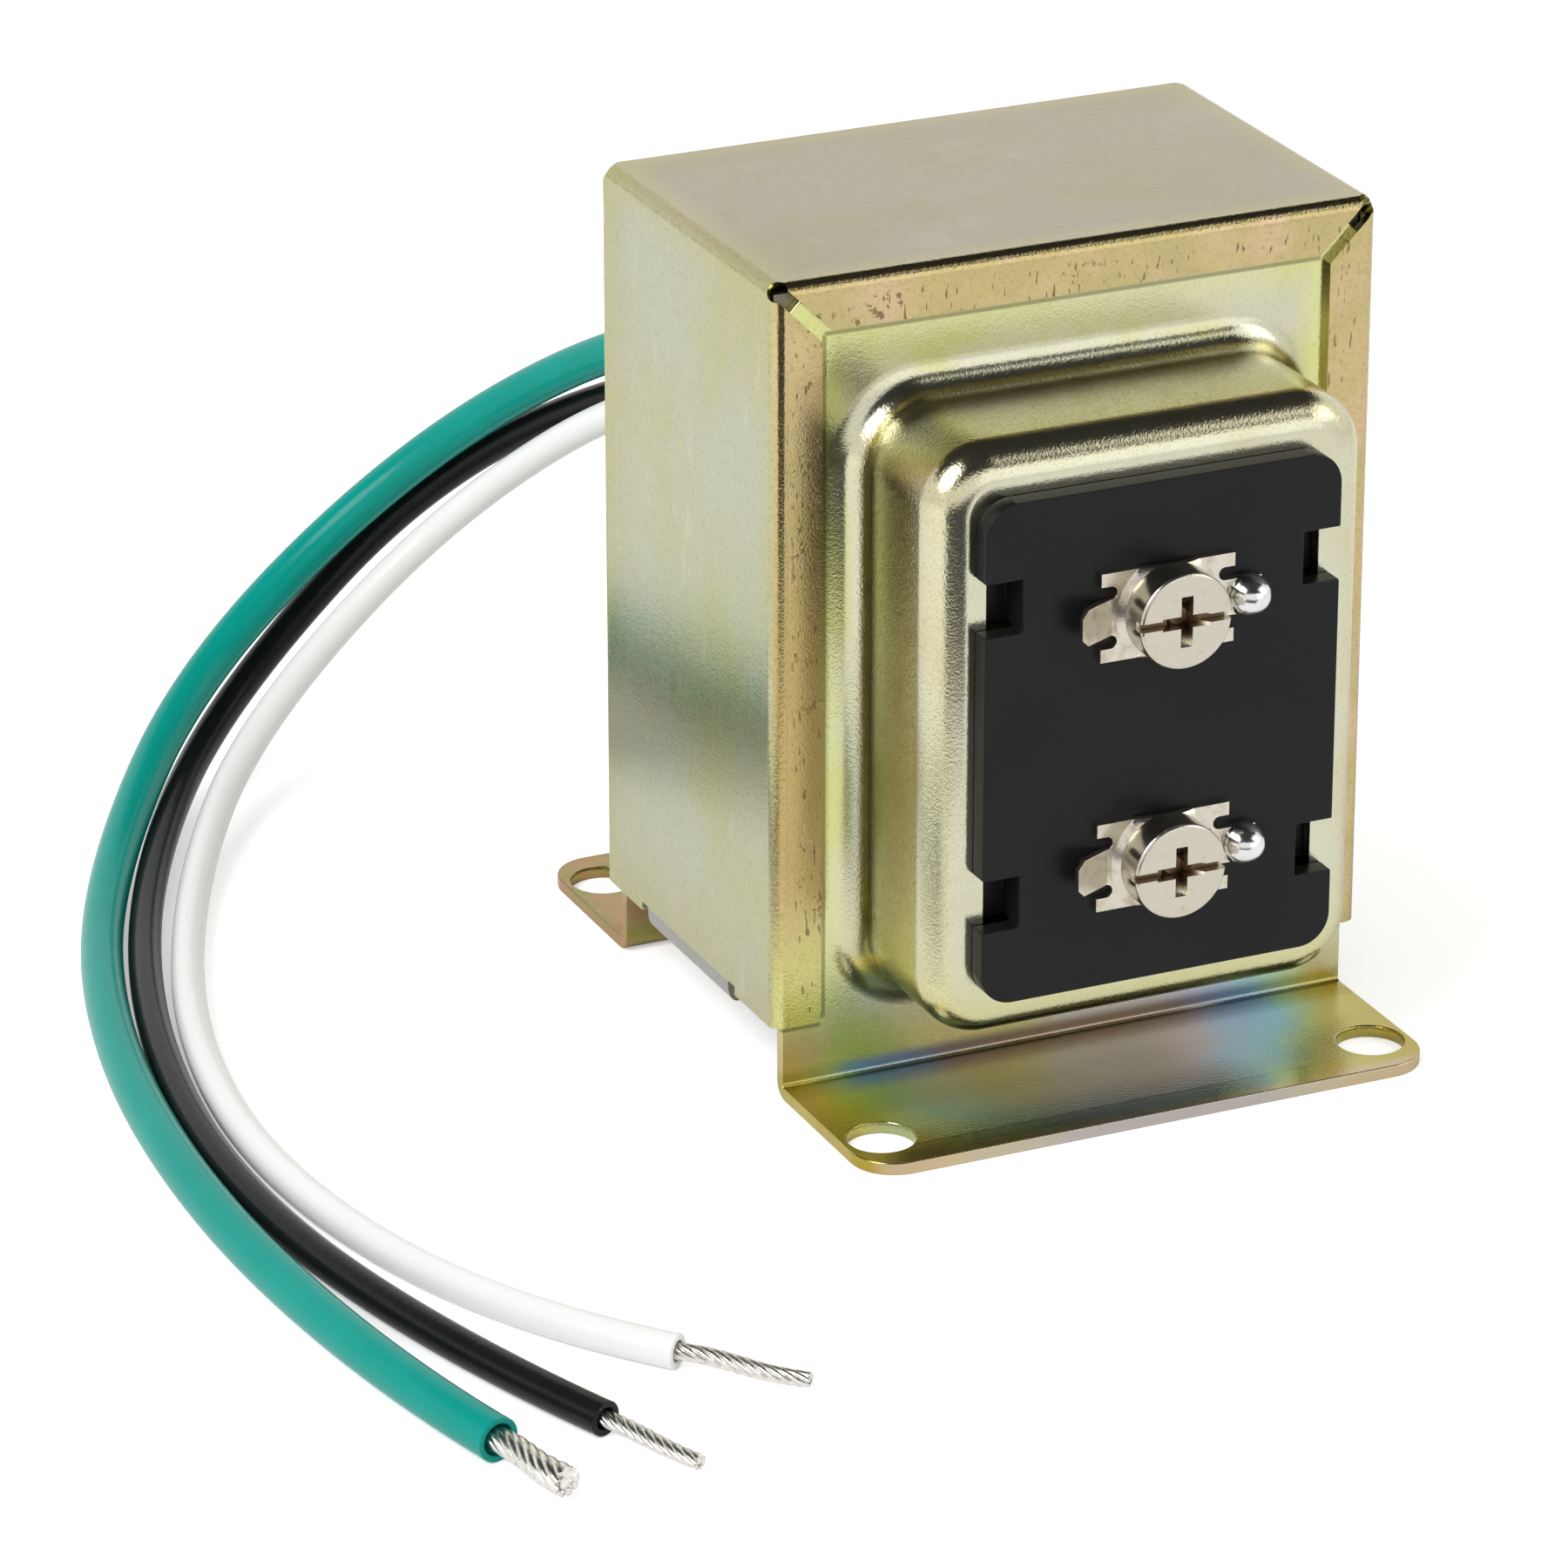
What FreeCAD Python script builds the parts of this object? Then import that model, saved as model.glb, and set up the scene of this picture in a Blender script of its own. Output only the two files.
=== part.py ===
import FreeCAD
import Part
import math
import os

# Doorbell transformer for a chassis or junction box, with three stripped leads.
# X runs to the right along the front, the terminals face -Y, Z is up.
# The origin is the centre of the four foot holes, on the underside of the feet.

V = FreeCAD.Vector

# Laminated core, punched without waste from limbs of one width
limb = 9.5
core_stack = 28.2
core_lift = 6.3

# Folded steel wrap
wrap_sheet = 0.7
wrap_bend = 0.3
wrap_clearance = 0.1
wrap_headroom = 0.5
wrap_skirt = 0.2
flange_width = 3.9
mitre_gap = 1.1
mitre_end = 0.9
relief_radius = 0.8
tab_length = 15.0
tab_reach = 4.0
tab_bend = 0.1
tab_relief = 1.2
tab_relief_rise = 0.7

# Drawn end bells
bell_sheet = 1.0
bell_clip = 2.0
foot_bend = 1.0
foot_reach = 15.6
foot_corner = 3.5
hole_side_margin = 3.1
hole_edge_margin = 4.8
hole_diameter = 5.2
dome_sideroom = 3.5
dome_headroom = 2.2
dome_lift = 3.8
dome_corner = 5.0
dome_depth = 13.2
dome_shoulder = 2.85
dome_root = 2.5

# Terminal board
board_side_margin = 0.4
board_end_margin = 0.8
board_thickness = 1.7
board_corner = 2.5
window_margin = 0.95
notch_spacing = 23.1
notch_length = 4.1
notch_depth = 3.0
hook_wall = 1.0
hook_grip = 0.6
hook_thickness = 1.2
hook_clearance = 0.1

# Terminal plates and screws
terminal_spacing = 19.6
plate_width = 10.8
plate_length = 6.9
plate_sheet = 0.6
plate_slot = 1.0
plate_slot_depth = 0.8
plate_slot_offset = 1.9
tongue_width = 2.8
tongue_reach = 2.2
tongue_lift = 1.5
tongue_clip = 0.6
collar_base = 8.4
collar_top = 7.0
collar_rise = 0.5
barrel_diameter = 5.0
barrel_clearance = 0.1
screw_diameter = 3.5
screw_length = 5.6
head_diameter = 7.4
head_height = 2.5
head_edge = 0.3
slot_width = 0.65
slot_depth = 0.8
cross_width = 0.95
cross_length = 3.9
cross_root = 1.3
cross_depth = 1.5

# Solder joints and the winding ends inside them
solder_offset = 6.55
solder_width = 3.6
solder_length = 3.2
solder_height = 1.7
wire_diameter = 1.1
wire_clearance = 0.1
wire_cover = 0.5

# Bobbin and windings
bobbin_clearance = 0.15
bobbin_wall = 1.2
bobbin_flange = 1.0
bobbin_headroom = 1.4
partition_offset = -1.0
winding_margin = 1.5
winding_corner = 2.2
tape_thickness = 0.3

# Lead bushing in the rear bell
bushing_hole = 12.7
bushing_clearance = 0.1
bushing_bore = 10.0
bushing_flange = 16.0
bushing_flange_thickness = 1.6
bushing_barrel = 1.6
bushing_snap = 0.5
bushing_slit = 1.2

# Leads
green_diameter = 3.3
line_diameter = 2.6
green_conductor_diameter = 1.9
line_conductor_diameter = 1.3
green_strip = 7.5
black_strip = 9.0
white_strip = 10.0
sleeve_wall = 0.45
sleeve_grip = 2.0
lug_wall = 0.6
lug_grip = 2.4
lug_width = 4.6
lead_trim = 0.45

green_points = [
    (-6.0, 25.0, 44.2),
    (-6.4, 42.0, 41.2),
    (-18.5, 65.2, 25.2),
    (-40.5, 64.0, 8.8),
    (-57.5, 40.5, 1.65),
    (-67.0, 13.0, 1.65),
    (-70.5, -16.5, 1.65),
    (-68.4, -45.5, 1.65),
    (-65.0, -58.6, 1.65),
]
black_points = [
    (-4.1, 25.0, 40.3),
    (-4.6, 43.0, 36.8),
    (-17.7, 67.0, 21.4),
    (-38.5, 64.0, 5.0),
    (-53.5, 41.5, 1.3),
    (-64.0, 12.0, 1.3),
    (-67.5, -16.5, 1.3),
    (-62.6, -44.0, 1.3),
    (-57.0, -58.2, 1.3),
]
white_points = [
    (-7.9, 25.0, 40.3),
    (-8.2, 42.0, 36.0),
    (-18.9, 62.5, 20.0),
    (-38.0, 58.0, 5.0),
    (-51.0, 38.0, 1.3),
    (-61.5, 10.0, 1.3),
    (-64.0, -16.0, 1.3),
    (-57.5, -41.0, 1.3),
    (-48.7, -51.2, 1.3),
]

# Levels and planes that follow from the sizes
core_width = 5 * limb
core_height = 6 * limb
core_top = core_lift + core_height
core_middle = core_lift + core_height / 2
core_face = core_stack / 2
plate_face = core_face + bell_sheet
wrap_half_width = core_width / 2 + wrap_clearance + wrap_sheet
wrap_half_depth = plate_face + wrap_sheet
wrap_top = core_top + wrap_headroom + wrap_sheet
wrap_bottom = core_lift - wrap_skirt
bell_half_width = wrap_half_width - wrap_sheet - wrap_bend
bell_top = core_top + wrap_headroom - wrap_bend
foot_edge = plate_face + foot_reach
hole_x = bell_half_width - hole_side_margin
hole_y = foot_edge - hole_edge_margin
tube_half_up = limb
tube_half_deep = core_face + bobbin_clearance
bobbin_half_length = core_width / 2 - limb - bobbin_clearance
bobbin_half_height = 2 * limb - bobbin_headroom
bobbin_half_depth = tube_half_deep + bobbin_half_height - tube_half_up
winding_build = bobbin_half_height - tube_half_up - bobbin_wall - winding_margin
winding_face = tube_half_deep + bobbin_wall + winding_build + tape_thickness
dome_half_width = bobbin_half_length + dome_sideroom
dome_bottom = bell_sheet + foot_bend + dome_root + dome_lift
dome_top = core_middle + bobbin_half_height + dome_headroom
dome_half_length = (dome_top - dome_bottom) / 2
dome_height = (dome_top + dome_bottom) / 2
dome_face = plate_face + dome_depth
board_half_width = dome_half_width - dome_shoulder - board_side_margin
board_half_length = dome_half_length - dome_shoulder - board_end_margin
board_face = dome_face + board_thickness
bushing_x = green_points[0][0]
bushing_height = (green_points[0][2] + white_points[0][2]) / 2
overlap = 1.0
tolerance = 0.001


# Shapes used by more than one piece
def box(x0, x1, y0, y1, z0, z1):
    return Part.makeBox(x1 - x0, y1 - y0, z1 - z0, V(x0, y0, z0))


def rod(start, direction, radius, length):
    return Part.makeCylinder(radius, length, start, direction)


def polygon(points):
    return Part.Face(Part.makePolygon(points + [points[0]]))


def rounded_face(half_across, half_up, corner, place):
    across = half_across - corner
    up = half_up - corner
    middle = corner * math.sqrt(0.5)
    edges = []
    for sx, sz, turned in ((1, 1, False), (-1, 1, True), (-1, -1, False), (1, -1, True)):
        side = (sx * half_across, sz * up)
        bend = (sx * (across + middle), sz * (up + middle))
        crest = (sx * across, sz * half_up)
        first, last = (crest, side) if turned else (side, crest)
        edges.append((first, bend, last))
    outline = []
    for index, (first, bend, last) in enumerate(edges):
        following = edges[(index + 1) % len(edges)][0]
        outline.append(Part.Arc(place(*first), place(*bend), place(*last)).toShape())
        outline.append(Part.LineSegment(place(*last), place(*following)).toShape())
    return Part.Face(Part.Wire(outline))


def front_prism(half_width, half_length, corner, middle, y0, y1):
    face = rounded_face(half_width, half_length, corner, lambda a, b: V(a, y0, middle + b))
    return face.extrude(V(0, y1 - y0, 0))


def side_prism(half_depth, half_height, corner, x0, x1):
    face = rounded_face(half_depth, half_height, corner, lambda a, b: V(x0, a, core_middle + b))
    return face.extrude(V(x1 - x0, 0, 0))


def edges_on(shape, y, half_width, middle, half_length):
    found = []
    for edge in shape.Edges:
        size = edge.BoundBox
        on_plane = abs(size.YMin - y) < tolerance and abs(size.YMax - y) < tolerance
        across = max(abs(size.XMin), abs(size.XMax)) < half_width + tolerance
        along = max(abs(size.ZMin - middle), abs(size.ZMax - middle)) < half_length + tolerance
        if on_plane and across and along:
            found.append(edge)
    return found


def front_and_rear(shape):
    return shape, shape.mirror(V(0, 0, 0), V(0, 1, 0))


# Laminated core: E stack with its yoke at the left, I stack across the limb ends
def core_stacks():
    left = -core_width / 2
    right = core_width / 2
    inner = left + limb
    joint = right - limb
    lower = [core_lift, core_lift + limb, core_middle - limb]
    upper = [core_middle + limb, core_top - limb, core_top]
    levels = lower + upper
    outline = [
        (left, levels[0]), (joint, levels[0]), (joint, levels[1]), (inner, levels[1]),
        (inner, levels[2]), (joint, levels[2]), (joint, levels[3]), (inner, levels[3]),
        (inner, levels[4]), (joint, levels[4]), (joint, levels[5]), (left, levels[5]),
    ]
    e_face = polygon([V(x, -core_face, z) for x, z in outline])
    e_stack = e_face.extrude(V(0, core_stack, 0))
    i_stack = box(joint, right, -core_face, core_face, core_lift, core_top)
    return e_stack, i_stack


# Steel wrap folded over the core, with flanges over both bells and tabs under it
def housing_wrap():
    wide = wrap_half_width
    deep = wrap_half_depth
    bend_outer = wrap_bend + wrap_sheet
    outer = box(-wide, wide, -deep, deep, wrap_bottom, wrap_top)
    bends = [e for e in outer.Edges if e.BoundBox.ZMax > wrap_top - tolerance]
    outer = outer.makeFillet(bend_outer, bends)
    wide_inside = wide - wrap_sheet
    deep_inside = deep - wrap_sheet
    inner_top = wrap_top - wrap_sheet
    inner = box(-wide_inside, wide_inside, -deep_inside, deep_inside, wrap_bottom - overlap, inner_top)
    bends = [e for e in inner.Edges if e.BoundBox.ZMax > inner_top - tolerance]
    inner = inner.makeFillet(wrap_bend, bends)
    shell = outer.cut(inner)

    mouth_half = wrap_half_width - flange_width
    mouth_top = wrap_top - flange_width
    far = wrap_half_depth + overlap
    shell = shell.cut(box(-mouth_half, mouth_half, -far, far, wrap_bottom - overlap, mouth_top))

    slot_depth_in = far - deep_inside + wrap_bend
    slot_run = (flange_width - mitre_end) * math.sqrt(2)
    for side in (-1, 1):
        slot = box(-mitre_gap / 2, mitre_gap / 2, -far, -far + slot_depth_in, -overlap, slot_run)
        slot.rotate(V(0, 0, 0), V(0, 1, 0), side * 45)
        slot.translate(V(side * mouth_half, 0, mouth_top))
        corner = V(side * wrap_half_width, -wrap_half_depth, wrap_top)
        outward = V(side, -1, 1)
        relief = rod(corner - outward * (2 * bend_outer), outward, relief_radius, 4 * bend_outer)
        for cutter in front_and_rear(slot.fuse(relief)):
            shell = shell.cut(cutter)

    tab_inner = core_width / 2
    tab_outer = wrap_half_width
    under = core_lift - wrap_sheet
    fold_outer = tab_bend + wrap_sheet
    fold_centre = V(tab_outer - fold_outer, -tab_length / 2, under + fold_outer)
    middle = math.sqrt(0.5)
    half_relief = tab_length / 2 + tab_relief
    relief_top = wrap_bottom + tab_relief_rise

    def at(x, z):
        return V(x, -tab_length / 2, z)

    def around(radius):
        return fold_centre + V(radius * middle, 0, -radius * middle)

    wall_inner = tab_outer - wrap_sheet
    corners = [
        at(wall_inner, relief_top),
        at(wall_inner, fold_centre.z),
        at(fold_centre.x, core_lift),
        at(tab_inner - tab_reach, core_lift),
        at(tab_inner - tab_reach, under),
        at(fold_centre.x, under),
        at(tab_outer, fold_centre.z),
        at(tab_outer, relief_top),
    ]
    edges = [
        Part.LineSegment(corners[0], corners[1]).toShape(),
        Part.Arc(corners[1], around(tab_bend), corners[2]).toShape(),
        Part.LineSegment(corners[2], corners[3]).toShape(),
        Part.LineSegment(corners[3], corners[4]).toShape(),
        Part.LineSegment(corners[4], corners[5]).toShape(),
        Part.Arc(corners[5], around(fold_outer), corners[6]).toShape(),
        Part.LineSegment(corners[6], corners[7]).toShape(),
        Part.LineSegment(corners[7], corners[0]).toShape(),
    ]
    tab = Part.Face(Part.Wire(edges)).extrude(V(0, tab_length, 0))
    clear_x = (wall_inner - overlap, tab_outer + overlap)
    relief = box(*clear_x, -half_relief, half_relief, wrap_bottom - overlap, relief_top)
    for side in (1, -1):
        if side < 0:
            tab = tab.mirror(V(0, 0, 0), V(1, 0, 0))
            relief = relief.mirror(V(0, 0, 0), V(1, 0, 0))
        shell = shell.cut(relief).fuse(tab)
    return shell.removeSplitter()


# End bell: plate and foot folded from one sheet, with a drawn dome that flares into the plate
def bell_plate():
    inner = -core_face
    outer = -plate_face
    centre_y = outer - foot_bend
    centre_z = bell_sheet + foot_bend
    back = foot_bend + bell_sheet
    middle = math.sqrt(0.5)

    def at(y, z):
        return V(-bell_half_width, y, z)

    corners = [
        at(inner, bell_top),
        at(inner, centre_z),
        at(centre_y, 0),
        at(-foot_edge, 0),
        at(-foot_edge, bell_sheet),
        at(centre_y, bell_sheet),
        at(outer, centre_z),
        at(outer, bell_top),
    ]
    back_bend = at(centre_y + back * middle, centre_z - back * middle)
    front_bend = at(centre_y + foot_bend * middle, centre_z - foot_bend * middle)
    edges = [
        Part.LineSegment(corners[0], corners[1]).toShape(),
        Part.Arc(corners[1], back_bend, corners[2]).toShape(),
        Part.LineSegment(corners[2], corners[3]).toShape(),
        Part.LineSegment(corners[3], corners[4]).toShape(),
        Part.LineSegment(corners[4], corners[5]).toShape(),
        Part.Arc(corners[5], front_bend, corners[6]).toShape(),
        Part.LineSegment(corners[6], corners[7]).toShape(),
        Part.LineSegment(corners[7], corners[0]).toShape(),
    ]
    plate = Part.Face(Part.Wire(edges)).extrude(V(2 * bell_half_width, 0, 0))
    tips = []
    for edge in plate.Edges:
        size = edge.BoundBox
        if size.YMax < -foot_edge + tolerance and size.ZLength > bell_sheet / 2:
            tips.append(edge)
    plate = plate.makeFillet(foot_corner, tips)
    clipped = []
    for edge in plate.Edges:
        size = edge.BoundBox
        if size.ZMin > bell_top - tolerance and size.XLength < tolerance:
            clipped.append(edge)
    plate = plate.makeChamfer(bell_clip, clipped)
    for side in (-1, 1):
        centre = V(side * hole_x, -hole_y, -overlap)
        plate = plate.cut(rod(centre, V(0, 0, 1), hole_diameter / 2, bell_sheet + 2 * overlap))
    return plate


def drawn_dome(inset, base):
    wide = dome_half_width - inset
    long = dome_half_length - inset
    face = -dome_face + inset
    dome = front_prism(wide, long, dome_corner - inset, dome_height, -core_face, face)
    rim = edges_on(dome, face, wide, dome_height, long)
    dome = dome.makeFillet(dome_shoulder - inset, rim)
    dome = base.fuse(dome).removeSplitter()
    root = edges_on(dome, -plate_face + inset, wide, dome_height, long)
    return dome.makeFillet(dome_root + inset, root)


def end_bell():
    pressing = drawn_dome(0, bell_plate())
    far = foot_edge + overlap
    behind = box(-far, far, -core_face, core_face, core_lift - overlap, core_top + overlap)
    hollow = drawn_dome(bell_sheet, behind)
    return pressing.cut(hollow)


def front_end_bell():
    window = front_prism(
        board_half_width - window_margin,
        board_half_length - window_margin,
        board_corner - window_margin,
        dome_height,
        -dome_face - overlap,
        -dome_face + bell_sheet + overlap,
    )
    return end_bell().cut(window)


def rear_end_bell():
    bell = end_bell().mirror(V(0, 0, 0), V(0, 1, 0))
    start = V(bushing_x, dome_face - bell_sheet - overlap, bushing_height)
    return bell.cut(rod(start, V(0, 1, 0), bushing_hole / 2, bell_sheet + 2 * overlap))


# Bobbin with two sections, the windings on it and the tape round them
def bobbin():
    half = bobbin_half_length
    deep = bobbin_half_depth
    low = core_middle - bobbin_half_height
    high = core_middle + bobbin_half_height
    body = box(
        -half,
        half,
        -tube_half_deep - bobbin_wall,
        tube_half_deep + bobbin_wall,
        core_middle - tube_half_up - bobbin_wall,
        core_middle + tube_half_up + bobbin_wall,
    )
    for x in (-half, partition_offset - bobbin_flange / 2, half - bobbin_flange):
        body = body.fuse(box(x, x + bobbin_flange, -deep, deep, low, high))
    bore = box(
        -half - overlap,
        half + overlap,
        -tube_half_deep,
        tube_half_deep,
        core_middle - tube_half_up,
        core_middle + tube_half_up,
    )
    return body.cut(bore).removeSplitter()


def winding(x0, x1):
    deep = tube_half_deep + bobbin_wall
    up = tube_half_up + bobbin_wall
    core = box(x0 - overlap, x1 + overlap, -deep, deep, core_middle - up, core_middle + up)
    coil = side_prism(deep + winding_build, up + winding_build, winding_corner, x0, x1)
    taped = side_prism(
        deep + winding_build + tape_thickness,
        up + winding_build + tape_thickness,
        winding_corner + tape_thickness,
        x0,
        x1,
    )
    return coil.cut(core), taped.cut(coil)


# Moulded terminal board with a snap leg behind each notch
def terminal_board():
    half_width = board_half_width
    board = front_prism(half_width, board_half_length, board_corner, dome_height, -dome_face, -board_face)
    leg_outer = half_width - notch_depth
    leg_inner = leg_outer - hook_wall
    hook_tip = half_width - window_margin + hook_grip
    hook_face = -dome_face + bell_sheet + hook_clearance
    hook_back = hook_face + hook_thickness
    for side in (-1, 1):
        for level in (-1, 1):
            middle = dome_height + level * notch_spacing / 2
            low = middle - notch_length / 2
            high = middle + notch_length / 2
            through = (-board_face - overlap, -dome_face + overlap)
            cut = box(leg_outer, half_width + overlap, *through, low, high)
            outline = [
                V(leg_inner, -dome_face - board_thickness / 2, low),
                V(leg_outer, -dome_face - board_thickness / 2, low),
                V(leg_outer, hook_face, low),
                V(hook_tip, hook_face, low),
                V(leg_outer, hook_back, low),
                V(leg_inner, hook_back, low),
            ]
            leg = polygon(outline).extrude(V(0, 0, high - low))
            if side < 0:
                cut = cut.mirror(V(0, 0, 0), V(1, 0, 0))
                leg = leg.mirror(V(0, 0, 0), V(1, 0, 0))
            board = board.cut(cut).fuse(leg)
    for level in (-1, 1):
        height = dome_height + level * terminal_spacing / 2
        barrel = V(0, -board_face - overlap, height)
        wire = V(solder_offset, -board_face - overlap, height)
        through = board_thickness + 2 * overlap
        board = board.cut(rod(barrel, V(0, 1, 0), barrel_diameter / 2 + barrel_clearance, through))
        board = board.cut(rod(wire, V(0, 1, 0), wire_diameter / 2 + wire_clearance, through))
    return board.removeSplitter()


# Pressed terminal plate, modelled with its back on y = 0 and the screw on the Y axis
def terminal_plate():
    half_width = plate_width / 2
    half_length = plate_length / 2
    plate = box(-half_width, half_width, -plate_sheet, 0, -half_length, half_length)
    for side in (-1, 1):
        for level in (-1, 1):
            middle = level * plate_slot_offset
            low = middle - plate_slot / 2
            high = middle + plate_slot / 2
            inner = side * (half_width - plate_slot_depth)
            x0 = min(inner, side * (half_width + overlap))
            x1 = max(inner, side * (half_width + overlap))
            slot = box(x0, x1, -plate_sheet - overlap, overlap, low, high)
            end_start = V(inner, -plate_sheet - overlap, middle)
            end = rod(end_start, V(0, 1, 0), plate_slot / 2, plate_sheet + 2 * overlap)
            plate = plate.cut(slot.fuse(end))

    root = -half_width + plate_slot_depth
    tip = -half_width - tongue_reach
    tongue_outline = [
        V(root, 0, -tongue_width / 2),
        V(root, -plate_sheet, -tongue_width / 2),
        V(tip, -plate_sheet - tongue_lift, -tongue_width / 2),
        V(tip, -tongue_lift, -tongue_width / 2),
    ]
    half_tongue = tongue_width / 2
    through = (-plate_sheet - overlap, overlap)
    plate = plate.cut(box(-half_width - overlap, root, *through, -half_tongue, half_tongue))
    tongue = polygon(tongue_outline).extrude(V(0, 0, tongue_width))
    clipped = []
    for edge in tongue.Edges:
        size = edge.BoundBox
        if size.XMax < tip + tolerance and size.YLength > plate_sheet / 2:
            clipped.append(edge)
    plate = plate.fuse(tongue.makeChamfer(tongue_clip, clipped))
    flat_end = half_width + tongue_reach
    plate = plate.fuse(box(half_width - overlap, flat_end, -plate_sheet, 0, -half_tongue, half_tongue))

    strip = box(-half_width, half_width, -plate_sheet - 2 * collar_rise, 0, -half_length, half_length)
    rise = Part.makeCone(collar_base / 2, collar_top / 2, collar_rise, V(0, -plate_sheet, 0), V(0, -1, 0))
    dish = Part.makeCone(collar_base / 2, collar_top / 2, collar_rise, V(0, 0, 0), V(0, -1, 0))
    plate = plate.fuse(rise.common(strip)).cut(dish)
    barrel_start = V(0, -plate_sheet - collar_rise, 0)
    barrel_length = plate_sheet + collar_rise + board_thickness
    plate = plate.fuse(rod(barrel_start, V(0, 1, 0), barrel_diameter / 2, barrel_length))
    plate = plate.cut(rod(barrel_start, V(0, 1, 0), screw_diameter / 2, barrel_length))
    wire_start = V(solder_offset, -plate_sheet - overlap, 0)
    wire_hole = wire_diameter / 2 + wire_clearance
    plate = plate.cut(rod(wire_start, V(0, 1, 0), wire_hole, plate_sheet + 2 * overlap))
    return plate.removeSplitter()


# Binding-head screw with a slot and a cross recess, seated on the collar
def terminal_screw():
    seat = -plate_sheet - collar_rise
    head = rod(V(0, seat, 0), V(0, -1, 0), head_diameter / 2, head_height)
    face = seat - head_height
    rim = [e for e in head.Edges if e.BoundBox.YMax < face + tolerance]
    head = head.makeFillet(head_edge, rim)
    reach = head_diameter / 2 + overlap
    half_slot = slot_width / 2
    half_cross = cross_length / 2
    slot = box(-reach, reach, face - overlap, face + slot_depth, -half_slot, half_slot)
    taper = [
        V(-half_cross, face, -cross_width / 2),
        V(half_cross, face, -cross_width / 2),
        V(cross_root / 2, face + cross_depth, -cross_width / 2),
        V(-cross_root / 2, face + cross_depth, -cross_width / 2),
    ]
    across = polygon(taper).extrude(V(0, 0, cross_width))
    upright = across.copy()
    upright.rotate(V(0, 0, 0), V(0, 1, 0), 90)
    shank = rod(V(0, seat, 0), V(0, 1, 0), screw_diameter / 2, screw_length)
    return head.cut(slot.fuse(across).fuse(upright)).fuse(shank).removeSplitter()


# Solder dome over the end of a winding wire on the plate's right tongue
def solder_joint():
    ball = Part.makeSphere(1.0, V(0, 0, 0))
    stretch = FreeCAD.Matrix()
    stretch.A11 = solder_width / 2
    stretch.A22 = solder_height
    stretch.A33 = solder_length / 2
    ball = ball.transformGeometry(stretch)
    front = box(-solder_width, solder_width, -2 * solder_height, 0, -solder_length, solder_length)
    dome = ball.common(front)
    dome.translate(V(solder_offset, -plate_sheet, 0))
    depth = solder_height - wire_cover
    return dome.cut(rod(V(solder_offset, -plate_sheet - depth, 0), V(0, 1, 0), wire_diameter / 2, depth))


def secondary_wire():
    start = -plate_sheet - solder_height + wire_cover
    length = board_face - winding_face - start
    return rod(V(solder_offset, start, 0), V(0, 1, 0), wire_diameter / 2, length)


# Snap bushing with four spring fingers behind the sheet of the rear bell
def lead_bushing():
    face = dome_face + bushing_flange_thickness
    inner = dome_face - bell_sheet
    end = inner - bushing_barrel
    barrel = bushing_hole / 2 - bushing_clearance
    outline = [
        V(bushing_bore / 2, end, 0),
        V(barrel - bushing_snap, end, 0),
        V(barrel + bushing_snap, inner - bushing_clearance - 2 * bushing_snap, 0),
        V(barrel, inner - bushing_clearance, 0),
        V(barrel, dome_face, 0),
        V(bushing_flange / 2, dome_face, 0),
        V(bushing_flange / 2, face - bushing_snap, 0),
        V(bushing_flange / 2 - bushing_snap, face, 0),
        V(bushing_bore / 2 + bushing_snap, face, 0),
        V(bushing_bore / 2, face - bushing_snap, 0),
    ]
    bushing = polygon(outline).revolve(V(0, 0, 0), V(0, 1, 0), 360)
    reach = bushing_flange / 2
    across = box(-reach, reach, end - overlap, inner, -bushing_slit / 2, bushing_slit / 2)
    upright = box(-bushing_slit / 2, bushing_slit / 2, end - overlap, inner, -reach, reach)
    bushing = bushing.cut(across.fuse(upright))
    bushing.translate(V(bushing_x, 0, bushing_height))
    return bushing


# Lead along straight runs joined by tangent arcs, with its bare conductor
def lead(points, diameter):
    corners = [V(*point) for point in points]
    edges = []
    radii = []
    start = corners[0]
    for index in range(1, len(corners) - 1):
        corner = corners[index]
        back = corners[index - 1] - corner
        ahead = corners[index + 1] - corner
        trim = lead_trim * min(back.Length, ahead.Length)
        turn = math.pi - back.getAngle(ahead)
        radii.append(trim / math.tan(turn / 2))
        back.normalize()
        ahead.normalize()
        first = corner + back * trim
        last = corner + ahead * trim
        bisector = back + ahead
        bisector.normalize()
        height = radii[-1] * (1 / math.cos(turn / 2) - 1)
        edges.append(Part.LineSegment(start, first).toShape())
        edges.append(Part.Arc(first, corner + bisector * height, last).toShape())
        start = last
    edges.append(Part.LineSegment(start, corners[-1]).toShape())
    path = Part.Wire(edges)
    ring = Part.Wire(Part.Circle(corners[0], corners[1] - corners[0], diameter / 2).toShape())
    tube = path.makePipeShell([ring], True, False)
    ratio = tube.Volume / (path.Length * math.pi * diameter ** 2 / 4)
    print("lead length", round(path.Length, 1), "radii", [round(radius, 1) for radius in radii])
    print("tube volume against section times length", round(ratio, 4))
    return tube


def conductor(points, diameter, length):
    end = V(*points[-1])
    direction = end - V(*points[-2])
    bare = rod(end, direction, diameter / 2, length)
    tip = [e for e in bare.Edges if (e.CenterOfMass - end).Length > length / 2 and e.Closed]
    return bare.makeFillet(diameter / 4, tip)


def start_frame(points):
    start = V(*points[0])
    direction = V(*points[1]) - start
    direction.normalize()
    return start, direction


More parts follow.
